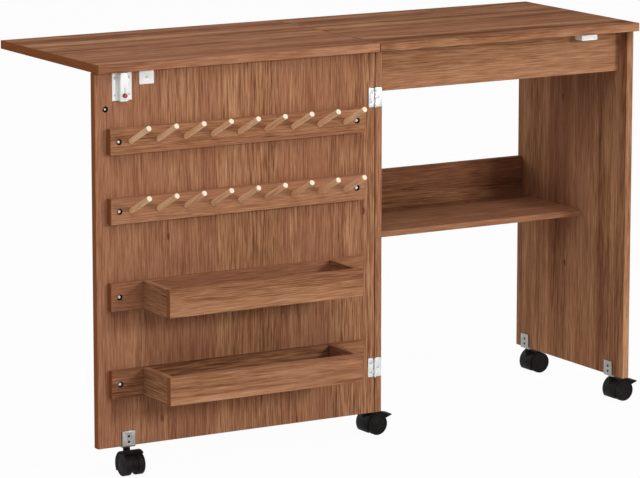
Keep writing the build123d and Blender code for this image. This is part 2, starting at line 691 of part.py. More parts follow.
# Strike plate on the door and the magnetic catch under the top
with BuildPart() as strike_plate:
    with Locations((strike_x, front_edge - strike_sheet / 2, strike_z)):
        Box(strike_width, strike_sheet, strike_height)
    fillet(strike_plate.edges().filter_by(Axis.Y), strike_corner)
    drill(strike_seats, hardware_screw_head_radius + seat_gap,
          hardware_screw_head_height + seat_gap)
    drill(strike_seats, pilot_radius, strike_sheet)
save(strike_plate, "strike_plate")

catch_base_z = top_underside - catch_height
catch_back = catch_front + catch_depth
pocket_width = catch_width - 2 * catch_wall
pocket_height = catch_height - catch_ear_height - catch_wall
pocket_depth = catch_depth - catch_wall
pocket_z = catch_base_z + catch_wall + pocket_height / 2
pole_width = pocket_width - 2 * seat_gap
pole_z = [pocket_z + side * (pocket_height / 2 - seat_gap - pole_plate / 2) for side in (-1, 1)]
with BuildPart() as catch_housing:
    with Locations((catch_x, catch_middle_y, catch_base_z)):
        Box(catch_width, catch_depth, catch_height, align=MIN_UP)
    fillet(catch_housing.edges().filter_by(Axis.Y).group_by(Axis.Z)[0], catch_corner)
    with Locations((catch_x, catch_middle_y, top_underside)):
        Box(catch_width + 2 * catch_ear, catch_ear_depth, catch_ear_height, align=MAX_DOWN)
    with Locations((catch_x, catch_back, pocket_z)):
        Box(pocket_width, 2 * pocket_depth, pocket_height, mode=Mode.SUBTRACT)
    with Locations(*[(catch_x, catch_front, z) for z in pole_z]):
        Box(pocket_width, 2 * catch_wall, pole_plate + 2 * seat_gap, mode=Mode.SUBTRACT)
    drill(catch_seats, pilot_radius, catch_ear_height)
save(catch_housing, "catch_housing")

with BuildPart() as catch_magnet:
    with Locations((catch_x, catch_back - pocket_depth / 2, pocket_z)):
        Box(pole_width, pocket_depth - 2 * seat_gap, pocket_height - 2 * pole_plate - 4 * seat_gap)
save(catch_magnet, "catch_magnet")

with BuildPart() as catch_pole_plates:
    pole_length = catch_depth + pole_reach - seat_gap
    with Locations(*[(catch_x, catch_front - pole_reach + pole_length / 2, z) for z in pole_z]):
        Box(pole_width, pole_length, pole_plate)
save(catch_pole_plates, "catch_pole_plates")


def caster_bracket(stem, facing):
    """An angle of sheet steel round the lower edge of a board, with a collar and the swivel stem under it."""
    along = Vector(*facing).cross(Vector(0, 0, 1))
    base = Plane(origin=(*stem, flange_underside), x_dir=facing, z_dir=along)
    outer = board / 2 + bracket_sheet
    with BuildSketch(base) as angle:
        with BuildLine():
            Polyline((-board / 2, 0), (outer, 0), (outer, bracket_height), (board / 2, bracket_height),
                     (board / 2, bracket_sheet), (-board / 2, bracket_sheet), close=True)
        make_face()
        fillet(angle.vertices().group_by(Axis.X)[-1].sort_by(Axis.Y)[0], bracket_sheet)
    extrude(angle.sketch, amount=bracket_width / 2, both=True)
    with Locations((*stem, flange_underside)):
        Cylinder(stem_radius, stem_depth, align=MAX_DOWN)
        Cylinder(collar_radius, collar_height, align=MAX_DOWN)
    drill(bracket_seats(stem, facing), pilot_radius, bracket_sheet)


with BuildPart() as cabinet_caster_brackets:
    for caster_name in ("left_front", "left_rear", "right_front", "right_rear"):
        caster_stem, _, caster_facing, _ = casters[caster_name]
        caster_bracket(caster_stem, caster_facing)
save(cabinet_caster_brackets, "cabinet_caster_brackets")

with BuildPart() as door_caster_bracket:
    caster_stem, _, caster_facing, _ = casters["door"]
    caster_bracket(caster_stem, caster_facing)
save(door_caster_bracket, "door_caster_bracket")

with BuildPart() as cabinet_hardware_screws:
    raised_seats = cabinet_hinge_seats + catch_seats + left_bracket_seats + right_bracket_seats
    screws(raised_seats, hardware_screw_radius, hardware_screw_length, hardware_screw_head_radius,
           hardware_screw_head_height)
    screws(fixed_seats, hardware_screw_radius, hardware_screw_length, hardware_screw_head_radius,
           flat_screw_head_height)
save(cabinet_hardware_screws, "cabinet_hardware_screws")

with BuildPart() as door_hardware_screws:
    raised_seats = door_hinge_seats + latch_seats + caster_seats["door"]
    screws(raised_seats, hardware_screw_radius, hardware_screw_length, hardware_screw_head_radius,
           hardware_screw_head_height)
    screws([p.offset(-hardware_screw_head_height - seat_gap) for p in strike_seats], hardware_screw_radius,
           hardware_screw_length - hardware_screw_head_height, hardware_screw_head_radius,
           hardware_screw_head_height)
    screws([knob_seat], storage_screw_radius, board - storage_screw_recess + knob_screw_bite,
           storage_screw_head_radius, storage_screw_head_height)
save(door_hardware_screws, "door_hardware_screws")


def ring_sector(side_plane, inner, outer, start, end):
    """A face between two radii and two angles, about the axle."""
    with BuildSketch(side_plane) as sector:
        with BuildLine():
            outside = CenterArc((0, 0), outer, start, end - start)
            inside = CenterArc((0, 0), inner, start, end - start)
            Line(outside @ 0, inside @ 0)
            Line(outside @ 1, inside @ 1)
        make_face()
    return sector.sketch


def polar(radius, angle):
    """A point about the axle."""
    return Vector(radius, 0).rotate(Axis.Z, angle)


def caster_hood(side_plane, stem, axle_axis, braked):
    """Web between the wheels, canopy over the treads and the swivel neck."""
    with BuildSketch(side_plane) as web:
        Circle(wheel_radius - web_relief)
        with Locations((0, -web_cut)):
            Rectangle(2 * wheel_radius, wheel_radius, align=(Align.CENTER, Align.MAX), mode=Mode.SUBTRACT)
    extrude(web.sketch, amount=hood_web / 2, both=True)
    web_start = lever_notch_angle if braked else canopy_rear_angle
    bridge = ring_sector(side_plane, hood_hub_radius, canopy_middle, web_start, canopy_front_angle)
    extrude(bridge, amount=hood_web / 2, both=True)
    canopy = ring_sector(side_plane, canopy_inner, canopy_outer, canopy_rear_angle, canopy_front_angle)
    extrude(canopy, amount=wheel_outer, both=True)
    if braked:
        notch = ring_sector(side_plane, wheel_radius - web_relief, canopy_outer + canopy_wall,
                            canopy_rear_angle - lever_notch_margin, lever_notch_angle)
        extrude(notch, amount=lever_width / 2 + lever_side_gap, both=True, mode=Mode.SUBTRACT)
        pivot = side_plane.from_local_coords(polar(canopy_middle, lever_pivot_angle))
        with Locations(Plane(origin=pivot, z_dir=axle_axis)):
            Cylinder(lever_pin_radius, 2 * (wheel_outer - lever_pin_inset))
    with Locations((*stem, neck_base)):
        Cylinder(hood_neck_radius, hood_top - neck_base, align=MIN_UP)
    with Locations((*stem, hood_top)):
        Cylinder(stem_radius + running_gap, stem_depth, align=MAX_DOWN, mode=Mode.SUBTRACT)
    with Locations(Plane(origin=side_plane.origin, z_dir=axle_axis)):
        Cylinder(axle_radius + running_gap, 2 * hood_web, mode=Mode.SUBTRACT)


def caster_wheel(axle_plane, axle_axis):
    """One wheel: bevelled tread, rim ring and a sunk flat cover over the axle's end."""
    rim = wheel_radius - tread_bevel
    cover = rim - rim_ring
    sunk = wheel_outer - cover_sink
    bore = axle_radius + seat_gap
    with BuildSketch(axle_plane) as section:
        with BuildLine():
            Polyline((0, sunk), (0, axle_end), (bore, axle_end), (bore, wheel_inner), (rim, wheel_inner),
                     (wheel_radius, wheel_inner + tread_bevel), (wheel_radius, wheel_outer - tread_bevel),
                     (rim, wheel_outer), (cover, sunk), close=True)
        make_face()
    revolve(section.sketch, axis=Axis(axle_plane.origin, axle_axis))


def brake_lever(side_plane):
    """Foot lever whose curved underside presses on both treads."""
    face = wheel_radius + lever_gap
    pivot = polar(canopy_middle, lever_pivot_angle)
    heel = polar(face, lever_heel_angle)
    arch = polar(face, (lever_heel_angle + lever_toe_angle) / 2)
    toe = polar(face, lever_toe_angle)
    crown = polar(canopy_outer + lever_crown_rise, lever_crown_angle)
    tip_low = Vector(lever_reach, lever_tip_height - lever_tip_thickness)
    tip_high = Vector(lever_reach, lever_tip_height)
    dip = (crown - tip_high).normalized().rotate(Axis.Z, 90) * lever_back_dip
    with BuildSketch(side_plane) as outline:
        with BuildLine():
            ThreePointArc(heel, arch, toe)
            Line(toe, tip_low)
            Line(tip_low, tip_high)
            ThreePointArc(tip_high, (tip_high + crown) / 2 + dip, crown)
            Line(crown, heel)
        make_face()
        with Locations(pivot):
            Circle(lever_eye_radius)
            Circle(lever_pin_radius + running_gap, mode=Mode.SUBTRACT)
    extrude(outline.sketch, amount=lever_width / 2, both=True)


for caster_name, (caster_stem, trailing, _, braked) in casters.items():
    trail_way = Vector(*trailing)
    axle_axis = Vector(0, 0, 1).cross(trail_way)
    axle_centre = Vector(*caster_stem, axle_height) + trail_way * trail
    side_plane = Plane(origin=axle_centre, x_dir=trail_way, z_dir=-axle_axis)
    axle_plane = Plane(origin=axle_centre, x_dir=trail_way, z_dir=(0, 0, 1))

    with BuildPart() as hood:
        caster_hood(side_plane, caster_stem, axle_axis, braked)
    save(hood, f"{caster_name}_caster_hood")

    with BuildPart() as wheels:
        caster_wheel(axle_plane, axle_axis)
        mirror(about=Plane(origin=axle_centre, z_dir=axle_axis))
    save(wheels, f"{caster_name}_caster_wheels")

    with BuildPart() as axle:
        with Locations(Plane(origin=axle_centre, z_dir=axle_axis)):
            Cylinder(axle_radius, 2 * (axle_end - seat_gap))
    save(axle, f"{caster_name}_caster_axle")

    if braked:
        with BuildPart() as lever:
            brake_lever(side_plane)
        save(lever, f"{caster_name}_brake_lever")
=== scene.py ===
"""Looks of a folding sewing table: wood-grain boards, pegs, small hardware, casters and a white studio."""
import json
import math

import bpy
from bpy.props import FloatProperty, FloatVectorProperty, PointerProperty
from mathutils import Matrix, Vector


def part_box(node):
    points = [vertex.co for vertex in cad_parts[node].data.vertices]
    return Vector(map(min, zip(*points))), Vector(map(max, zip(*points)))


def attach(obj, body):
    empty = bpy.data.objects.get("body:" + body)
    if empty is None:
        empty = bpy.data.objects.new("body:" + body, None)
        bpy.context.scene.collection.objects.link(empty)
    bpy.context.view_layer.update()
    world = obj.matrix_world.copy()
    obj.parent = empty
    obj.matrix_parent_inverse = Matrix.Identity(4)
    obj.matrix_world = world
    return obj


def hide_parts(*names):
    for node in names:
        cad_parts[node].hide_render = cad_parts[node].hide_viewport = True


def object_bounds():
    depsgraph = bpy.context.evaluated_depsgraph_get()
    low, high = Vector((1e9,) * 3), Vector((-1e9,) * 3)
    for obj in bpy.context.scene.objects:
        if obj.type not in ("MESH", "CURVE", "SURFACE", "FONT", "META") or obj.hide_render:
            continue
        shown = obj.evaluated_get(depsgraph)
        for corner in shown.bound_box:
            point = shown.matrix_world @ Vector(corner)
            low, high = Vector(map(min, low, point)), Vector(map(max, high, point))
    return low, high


bl_info = {
    "name": "Folding sewing table",
    "version": (1, 0, 0),
    "blender": (4, 5, 0),
    "location": "3D View > Sidebar > Sewing table",
    "description": "Finishes and detailed pieces for a folding sewing table on casters",
    "category": "Object",
}

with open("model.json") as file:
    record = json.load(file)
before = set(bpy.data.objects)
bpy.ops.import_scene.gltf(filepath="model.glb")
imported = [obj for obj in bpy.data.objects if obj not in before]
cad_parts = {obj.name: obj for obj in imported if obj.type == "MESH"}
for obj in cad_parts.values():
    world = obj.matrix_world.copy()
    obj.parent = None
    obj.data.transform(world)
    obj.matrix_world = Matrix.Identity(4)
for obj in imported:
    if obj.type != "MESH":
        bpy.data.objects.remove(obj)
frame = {"nodes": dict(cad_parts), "record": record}
cad_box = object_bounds()

X, Y, Z = range(3)
CASTERS = ("left_front", "left_rear", "right_front", "right_rear", "door")
BRAKED = ("left_front", "right_front")

# Each board: the way its grain runs, the way across its broad face, how strong its growth lines,
# its broad streaks and its fine lines are, and its tone, with painted shade in the tones of the tops,
# the back rail and the bins' backs and bottoms, and painted light in those of the shelf and right panel
BOARDS = {
    "leaf_top": (X, Y, 0.6, 1.5, 1.5, -0.07),
    "fixed_top": (X, Y, 0.5, 1.5, 1.1, -0.11),
    "door_panel": (Z, X, 0.15, 0.5, 1.9, 0.03),
    "left_side_panel": (Z, Y, 0.3, 0.8, 1.6, 0.0),
    "right_side_panel": (Z, Y, 0.4, 1.2, 1.4, 0.06),
    "front_apron": (X, Z, 0.1, 0.25, 1.2, 0.1),
    "rear_apron": (X, Z, 0.3, 0.5, 1.4, 0.0),
    "shelf": (X, Y, 0.45, 0.7, 1.5, 0.08),
    "shelf_back_rail": (X, Z, 0.2, 0.5, 1.1, -0.17),
    "upper_spool_rail": (X, Z, 0.1, 0.3, 1.25, 0.05),
    "lower_spool_rail": (X, Z, 0.1, 0.3, 1.25, 0.05),
    "upper_bin_back_board": (X, Z, 0.3, 0.5, 1.4, -0.08),
    "upper_bin_front": (X, Z, 0.35, 0.9, 1.1, 0.02),
    "upper_bin_sides": (Y, Z, 0.3, 0.5, 1.4, 0.0),
    "upper_bin_bottom": (X, Y, 0.3, 0.5, 1.4, -0.05),
    "lower_bin_back_board": (X, Z, 0.3, 0.5, 1.4, -0.08),
    "lower_bin_front": (X, Z, 0.45, 1.6, 1.0, -0.03),
    "lower_bin_sides": (Y, Z, 0.3, 0.5, 1.4, 0.0),
    "lower_bin_bottom": (X, Y, 0.3, 0.5, 1.4, -0.05),
}

# Repeats in a metre of each layer of the printed figure, along the grain and across it
DRIFT = (3.2, 16)
BROAD = (1.1, 24)
LINE = (2.4, 170)
FIBRE = (20, 560)
DASH = (10, 400)
PORE = (60, 1300)
PATCH = (0.9, 13)
KNOT = (3.1, 7)

WORN = 0.72          # brightness of handled plating, as a share of the fresh plating's
WHEEL_SIDES = 72
DOME_RINGS = 5       # rings of the domed wheel cover
DOME_RING = 0.14     # width of each, as a share of the wheel's radius
CROSS = (0.85, 0.2, 0.6)     # length, width and depth of a screw's cross, as shares of the head's radius
CROSS_TAPER = 0.35   # length of the cross at its bottom, as a share of its length at the face


def linear(channel):
    """A display colour channel, 0 to 255, as linear light."""
    share = channel / 255
    if share <= 0.04045:
        return share / 12.92
    return ((share + 0.055) / 1.055) ** 2.4


def colour(name, description, shown):
    """A colour property, given as the colour that is shown on a display."""
    return FloatVectorProperty(name=name, description=description, subtype="COLOR", size=3, min=0.0, max=1.0,
                               default=[linear(channel) for channel in shown])


def length(name, description, default):
    """A length property in metres."""
    return FloatProperty(name=name, description=description, subtype="DISTANCE", unit="LENGTH", min=0.0,
                         default=default, precision=5)


def factor(name, description, default):
    """A plain share from 0 to 1."""
    return FloatProperty(name=name, description=description, subtype="FACTOR", min=0.0, max=1.0,
                         default=default)


def spot(name, description, default):
    """A place in the room, in metres."""
    return FloatVectorProperty(name=name, description=description, subtype="XYZ", unit="LENGTH", size=3,
                               default=default)


def power(name, description, default):
    """Power of a lamp, in watts."""
    return FloatProperty(name=name, description=description, subtype="POWER", min=0.0, default=default)


class BoardFinish(bpy.types.PropertyGroup):
    """Colours and figure of the wood-grain boards and pegs."""

    dark: colour("Dark grain", "Darkest growth lines", (93, 55, 34))
    middle: colour("Middle grain", "Body colour of the boards", (152, 105, 75))
    light: colour("Light grain", "Tan streaks between the growth lines", (190, 142, 106))
    rose: colour("Rosy planks", "Colour that the redder planks lean to", (140, 88, 68))
    pore: colour("Pores", "Short dark pores along the grain", (70, 40, 24))
    # Painted shadow: this dark colour stands for the shade in and round the sunk screws' recesses
    recess: colour("Screw recess", "Bare dark board round the sunk screws", (38, 22, 15))
    # Painted shade: the boards' ends that face left and right are darkened as the left ends lie in shade
    end_shade: colour("End bands", "Dark bands on the boards' left and right ends", (134, 76, 38))
    peg: colour("Peg", "Sides of the pegs", (240, 192, 148))
    cut_end: colour("Cut peg end", "Bare cream wood on the pegs' ends", (250, 232, 206))
    plank: length("Plank width", "Width of the planks in the printed figure", 0.088)
    ring: length("Growth line", "Distance between growth lines", 0.0085)
    gloss: factor("Roughness", "Roughness of the satin surface", 0.66)
    sheen: factor("Specular level", "Strength of the satin reflection", 0.006)


class HardwareFinish(bpy.types.PropertyGroup):
    """Colours of the metal and plastic pieces."""

    zinc: colour("Zinc", "Bright zinc plating of the hinges", (232, 233, 234))
    galvanised: colour("Galvanised steel", "Brackets of the casters", (160, 158, 154))
    screw: colour("Screws", "Bright screws", (255, 244, 236))
    dull_screw: colour("Dull screws", "Grey screws of the hinges, bolt and catch", (196, 197, 200))
    blued: colour("Blued screws", "Dark screws of the caster brackets", (52, 58, 74))
    brown: colour("Brown enamel", "Leaf hinges, painted like the boards", (128, 84, 60))
    enamel: colour("Enamel", "White enamel of the bolt plate and strike", (240, 240, 238))
    white: colour("White plastic", "Housing of the catch", (240, 240, 237))
    red: colour("Red plastic", "Knob of the thumb bolt", (186, 44, 48))
    # Painted shade on the sides of the red knob
    red_side_shade: colour("Red rim", "Side of the thumb bolt's knob", (74, 18, 20))
    black: colour("Black nylon", "Hoods and brake levers", (22, 19, 18))
    tread: colour("Wheel nylon", "Wheels", (25, 22, 22))
    ferrite: colour("Ferrite", "Magnet of the catch", (58, 58, 62))


class PieceSizes(bpy.types.PropertyGroup):
    """Sizes of the detail that the plain pieces leave out."""

    easing: length("Edge easing", "Rounding of the sheet-metal edges", 0.00035)
    moulding: length("Moulded edges", "Rounding of the plastic edges", 0.0007)
    broad_head: length("Broad heads", "Least radius of the screw heads that are sunk into the boards", 0.003)
    # Radius of the painted shadow ring round each sunk screw
    shadow_ring: length("Bruised ring", "Radius of the dark ring round a sunk screw", 0.006)
    sink: length("Sink", "Depth of the screw recesses", 0.004)
    turning: length("Turned edge", "Rounding of the wooden knob's edge", 0.0022)
    blued_below: length("Blued below", "Height under which the hardware screws are blued", 0.088)
    bright_above: length("Bright above", "Height over which the hardware screws are bright", 0.092)
    wheel_width: length("Wheel width", "Width of one wheel", 0.013)
    tread_round: length("Tread rounding", "Rounding of the wheel's shoulders", 0.0026)
    rim: length("Rim", "Width of the ring round the wheel's cover", 0.0018)
    lip: length("Lip", "Width of the step from the rim down to the cover", 0.0004)
    cover_sink: length("Cover sink", "Depth of the cover behind the rim", 0.0007)
    cover_dome: length("Cover dome", "Rise of the cover at its middle", 0.0013)


class StageSizes(bpy.types.PropertyGroup):
    """Camera, light and floor of the studio."""

    lens: FloatProperty(name="Lens", description="Focal length in millimetres", default=214.302, min=1.0)
    frame_width: FloatProperty(name="Frame width", description="Width of the camera's frame in millimetres",
                               default=36.0, min=1.0)
    yaw: FloatProperty(name="Camera turn", description="Turn to the right of the rear", subtype="ANGLE",
                       default=math.radians(30.5132))
    pitch: FloatProperty(name="Camera dip", description="Dip below the horizon", subtype="ANGLE",
                         default=math.radians(10.549))
    place: spot("Camera place", "Where the camera stands", (-3.69399, -6.16095, 1.70270))
    floor: length("Floor", "Width of the pale floor", 80.0)
    floor_shade: factor("Floor shade", "How much light the floor throws back", 0.75)
    floor_glow: factor("Floor white", "Share of plain white in the floor as it is seen", 0.96)
    ambient: FloatProperty(name="Ambient", description="Light of the white room", default=0.46, min=0.0)
    key: power("Key light", "Power of the lamp in front", 72.0)
    key_place: spot("Key place", "Where the lamp in front hangs", (1.6, -3.8, 1.6))
    key_size: length("Key size", "Width of the lamp in front", 0.8)
    top: power("Top light", "Power of the lamp above", 34.0)
    top_place: spot("Top place", "Where the lamp above hangs", (-0.9, -1.9, 3.1))
    rear: power("Rear light", "Power of the lamp behind the table", 26.0)
    rear_place: spot("Rear place", "Where the lamp behind the table hangs", (-1.5, 2.9, 1.7))
    soft_size: length("Soft size", "Width of the lamps above and behind", 2.0)


class Wire:
    """A shader value. Expressions on it add Math nodes to its finish."""

    def __init__(self, finish, socket):
        self.finish = finish
        self.socket = socket

    def __add__(self, other):
        return self.finish.math("ADD", self, other)

    def __sub__(self, other):
        return self.finish.math("SUBTRACT", self, other)

    def __rsub__(self, other):
        return self.finish.math("SUBTRACT", other, self)

    def __mul__(self, other):
        return self.finish.math("MULTIPLY", self, other)

    def __truediv__(self, other):
        return self.finish.math("DIVIDE", self, other)

    def __pow__(self, other):
        return self.finish.math("POWER", self, other)

    def __abs__(self):
        return self.finish.math("ABSOLUTE", self)

    def __floor__(self):
        return self.finish.math("FLOOR", self)

    __radd__ = __add__
    __rmul__ = __mul__


class Finish:
    """A material, or the world, that is being built from nodes."""

    def __init__(self, owner):
        owner.use_nodes = True
        self.owner = owner
        self.tree = owner.node_tree

    def feed(self, socket, value):
        """Link a wire to a socket, or set the socket's own value."""
        if isinstance(value, Wire):
            self.tree.links.new(value.socket, socket)
        elif socket.type == "RGBA":
            socket.default_value = (*value, 1.0)
        else:
            socket.default_value = value

    def node(self, kind, settings, values, output=0):
        """Add a node: its settings first, then the values or wires of its sockets."""
        made = self.tree.nodes.new("ShaderNode" + kind)
        for name, value in settings.items():
            if name == "stops":
                self.set_stops(made.color_ramp, value)
            else:
                setattr(made, name, value)
        for name, value in values.items():
            self.feed(made.inputs[name], value)
        return Wire(self, made.outputs[output])

    def set_stops(self, ramp, stops):
        """Place a ramp's stops, each a position and a colour."""
        while len(ramp.elements) < len(stops):
            ramp.elements.new(0.5)
        for element, (position, shade) in zip(ramp.elements, stops):
            element.position = position
            element.color = (*shade, 1.0)

    def math(self, operation, first, second=0.0):
        return self.node("Math", {"operation": operation}, {0: first, 1: second})

    def axes(self, output):
        """Three wires from a Texture Coordinate output: Object place or Normal."""
        vector = self.node("TexCoord", {}, {}, output)
        split = self.node("SeparateXYZ", {}, {0: vector}).socket.node
        return [Wire(self, socket) for socket in split.outputs]

    def noise(self, place, detail=2.0, roughness=0.5):
        """Smooth noise from 0 to 1, along one value or over three."""
        values = {"Scale": 1.0, "Detail": detail, "Roughness": roughness}
        if isinstance(place, Wire):
            return self.node("TexNoise", {"noise_dimensions": "1D"}, {"W": place, **values})
        vector = self.node("CombineXYZ", {}, dict(enumerate(place)))
        return self.node("TexNoise", {}, {"Vector": vector, **values})

    def random(self, value):
        """One random number for each whole value."""
        return self.node("TexWhiteNoise", {"noise_dimensions": "1D"}, {"W": value})

    def step(self, value, low, high):
        """0 below low, 1 above high, smooth between."""
        return self.node("MapRange", {"interpolation_type": "SMOOTHSTEP"},
                         {"Value": value, "From Min": low, "From Max": high})

    def mix(self, first, second, share):
        """One colour that turns into another as the share goes from 0 to 1."""
        return self.node("Mix", {"data_type": "RGBA"}, {0: share, 6: first, 7: second}, 2)

    def ramp(self, value, stops):
        return self.node("ValToRGB", {"stops": stops}, {0: value})

    def bump(self, height, strength, distance):
        return self.node("Bump", {}, {"Height": height, "Strength": strength, "Distance": distance})

    def done(self, **sockets):
        """Feed the shader's sockets and hand over the material."""
        shader = self.tree.nodes["Principled BSDF"]
        for name, value in sockets.items():
            self.feed(shader.inputs[name.replace("_", " ")], value)
        return self.owner


def new_finish(name):
    """A fresh material to build on."""
    return Finish(bpy.data.materials.new(name))


def seen_rays(finish):
    """1 where the camera looks, also in gloss or through glass, and 0 for light that only falls on pieces."""
    rays = finish.node("LightPath", {}, {}).socket.node.outputs
    names = ("Is Camera Ray", "Is Glossy Ray", "Is Transmission Ray")
    direct, gloss, glass = [Wire(finish, rays[name]) for name in names]
    return finish.math("MAXIMUM", finish.math("MAXIMUM", direct, gloss), glass)


def grain_axes(finish, along, across):
    """Place along the grain, across the broad face and through the board, with edge strips on the ends."""
    place = finish.axes("Object")
    facing = finish.axes("Normal")
    through = 3 - along - across
    end = finish.step(abs(facing[along]), 0.6, 0.8)
    u = place[along] + (place[across] - place[along]) * end
    v = place[across] + (place[along] - place[across]) * end
    return u, v, place[through]


def chamfer_mask(finish):
    """1 on slanted edge breaks, 0 on the flat faces of a board."""
    facing = [abs(axis) for axis in finish.axes("Normal")]
    squarest = finish.math("MAXIMUM", finish.math("MAXIMUM", facing[0], facing[1]), facing[2])
    return 1 - finish.step(squarest, 0.8, 0.95)


def recess_shadow_mask(finish, name, places):
    """1 in a board's screw recesses and on a ring round each, where their shadow is painted, or None without
    any.
    """
    sizes = bpy.context.scene.sewing_pieces
    low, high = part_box(name)
    x, y, z = finish.axes("Object")
    mask = None
    for middle in places:
        inside = low[X] < middle.x < high[X] and low[Z] < middle.z < high[Z]
        if inside and abs(middle.y - low[Y]) < sizes.sink:
            off = ((x - middle.x) ** 2 + (z - middle.z) ** 2) ** 0.5
            ring = 1 - finish.step(off, sizes.shadow_ring * 0.9, sizes.shadow_ring)
            mask = ring if mask is None else mask + ring
    if mask is None:
        return None
    return mask * (1 - finish.step(y, low[Y] + sizes.sink, low[Y] + sizes.sink * 1.2))


def sunk_screws():
    """Places of the broad screw heads on the inner face of the door."""
    least = bpy.context.scene.sewing_pieces.broad_head
    places = []
    for node in ("storage_screws", "door_hardware_screws"):
        measured = node_copy(node, "measured_screws")
        heads = [screw_head(points) for points in loose_solids(measured)]
        bpy.data.objects.remove(measured)
        places += [face for face, facing, radius in heads if radius > least]
    return places


def wood_figure(finish, u, v, w, seed, growth, streak, fine):
    """Tone from 0 to 1 of the printed grain, its redness, its height and its pores."""
    wood = bpy.context.scene.sewing_boards
    sway = finish.noise(v * 9 + seed * 3.1)
    plank = v / wood.plank + sway * 1.3 + seed * 7.7
    index = math.floor(plank)
    tone = finish.random(index + seed)
    shift = finish.random(index + seed + 0.5)
    side = (plank - index - 0.5) * wood.plank
    run = u + shift * 4
    heart = (side * side + (shift * 0.02 + 0.006) ** 2) ** 0.5

    def layer(repeats, offset, detail=2.0, roughness=0.5):
        along, across = repeats
        return finish.noise((run * along, v * across, w * across + offset), detail, roughness)

    drift = layer(DRIFT, seed)
    rings = finish.noise((heart + run * 0.035) / wood.ring + drift * 5, 2.0, 0.6)
    broad = layer(BROAD, seed)
    line = layer(LINE, seed, 3.0, 0.7)
    fibre = layer(FIBRE, seed, 2.0, 0.6)
    dash = finish.step(layer(DASH, seed * 2, 1.0), 0.58, 0.68)
    pore = finish.step(layer(PORE, seed, 1.0), 0.62, 0.74)
    level = (tone - 0.5) * 0.18 + (rings - 0.5) * growth + (broad - 0.5) * streak + 0.52
    level = level + (line - 0.5) * 0.4 + (fibre - 0.5) * fine - dash * 0.08
    red = finish.step(layer(PATCH, seed * 5) + (tone - 0.5) * 0.25, 0.38, 0.68)
    return level, red, rings * 0.4 + fibre * 0.6 - pore * 0.5, pore


def knots(finish, u, v):
    """A few small round knots."""
    cell = {"Vector": finish.node("CombineXYZ", {}, {0: u * KNOT[0], 1: v * KNOT[1]}), "Scale": 1.0}
    near = finish.node("TexVoronoi", {"voronoi_dimensions": "2D"}, cell)
    pick = finish.node("TexVoronoi", {"voronoi_dimensions": "2D"}, cell, "Color")
    chosen = finish.step(finish.node("SeparateColor", {}, {0: pick}), 0.80, 0.82)
    return (1 - finish.step(near, 0.010, 0.028)) * chosen


def grain_shade(finish, level, red):
    """Colour of the grain by its tone, leaning to rose where it is redder."""
    wood = bpy.context.scene.sewing_boards
    shade = finish.ramp(level, [(0.1, wood.dark), (0.5, wood.middle), (0.9, wood.light)])
    return finish.mix(shade, wood.rose, red * 0.45)


def board_material(name, seed, places):
    """Wood-grain melamine for one board, with grain along the board and edge strips on its ends."""
    wood = bpy.context.scene.sewing_boards
    along, across, growth, streak, fine, tone = BOARDS[name]
    finish = new_finish(name + "_grain")
    u, v, w = grain_axes(finish, along, across)
    level, red, height, pore = wood_figure(finish, u, v, w, seed, growth, streak, fine)
    knot = knots(finish, u + seed * 1.7, v + seed * 0.9)
    facing = finish.axes("Normal")
    strip = finish.step(finish.math("MAXIMUM", abs(facing[along]), abs(facing[across])), 0.6, 0.8)
    # The board's tone holds painted shade for the tops, back rail and bins' backs and bottoms, and painted
    # light for the shelf and right panel
    level = level + strip * 0.1 + tone - knot * 0.5
    shade = grain_shade(finish, level, red)
    shade = finish.mix(shade, wood.pore, pore * 0.3)
    # Painted shade on the ends that face left and right
    if X in (along, across):
        shade = finish.mix(shade, wood.end_shade, finish.step(abs(facing[X]), 0.6, 0.8) * 0.85)
    shade = finish.mix(shade, wood.dark, chamfer_mask(finish) * 0.35)
    # Painted shadow in the screw recesses and on a ring round each
    shadow_ring = recess_shadow_mask(finish, name, places)
    if shadow_ring:
        shade = finish.mix(shade, wood.recess, shadow_ring)
    rough = (level - 0.5) * -0.12 + pore * 0.15 + wood.gloss
    return finish.done(Base_Color=shade, Roughness=rough, Specular_IOR_Level=wood.sheen,
                       Normal=finish.bump(height, 0.12, 0.0004))


def peg_material():
    """Turned pegs in paler wood, with bare cream ends."""
    wood = bpy.context.scene.sewing_boards
    tilt = peg_tilt()
    finish = new_finish("peg_grain")
    x, y, z = finish.axes("Object")
    run = z * math.sin(tilt) - y * math.cos(tilt)
    rise = z * math.cos(tilt) + y * math.sin(tilt)
    facing = finish.axes("Normal")
    outward = facing[Z] * math.sin(tilt) - facing[Y] * math.cos(tilt)
    fibre = finish.noise((x * 420, run * 14, rise * 420), 3.0, 0.6)
    streak = finish.noise((x * 110, run * 5, rise * 110))
    level = (fibre - 0.5) * 0.7 + (streak - 0.5) * 0.6 + 0.5
    side = finish.ramp(level, [(0.1, wood.middle), (0.5, wood.peg), (0.9, wood.cut_end)])
    grain = finish.noise((x * 900, run * 90, rise * 900))
    tan = [channel * 0.78 for channel in wood.cut_end]
    cut = finish.mix(tan, wood.cut_end, finish.step(grain, 0.3, 0.6))
    end = finish.step(outward, 0.6, 0.8)
    rough = 0.5 + end * 0.2 + (fibre - 0.5) * 0.15
    return finish.done(Base_Color=finish.mix(side, cut, end), Roughness=rough, Specular_IOR_Level=wood.sheen,
                       Normal=finish.bump(fibre, 0.15, 0.0004))


def peg_tilt():
    """Angle of the pegs above level, from the box round one rack of them."""
    low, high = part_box("upper_spool_pegs")
    return math.atan2(high[Z] - low[Z], high[Y] - low[Y])


def knob_material():
    """Turned wooden knob with its grain along the turning axis."""
    finish = new_finish("knob_grain")
    x, y, z = finish.axes("Object")
    level, red, height, pore = wood_figure(finish, y, x, z, 5.3, 0.6, 0.6, 1.0)
    shade = grain_shade(finish, level, red)
    return finish.done(Base_Color=shade, Roughness=0.36 + pore * 0.2, Normal=finish.bump(height, 0.1, 0.0003))


def plating(finish, shade, wear):
    """A plating's colour, darker where it is handled."""
    return finish.mix([channel * WORN for channel in shade], shade, wear)


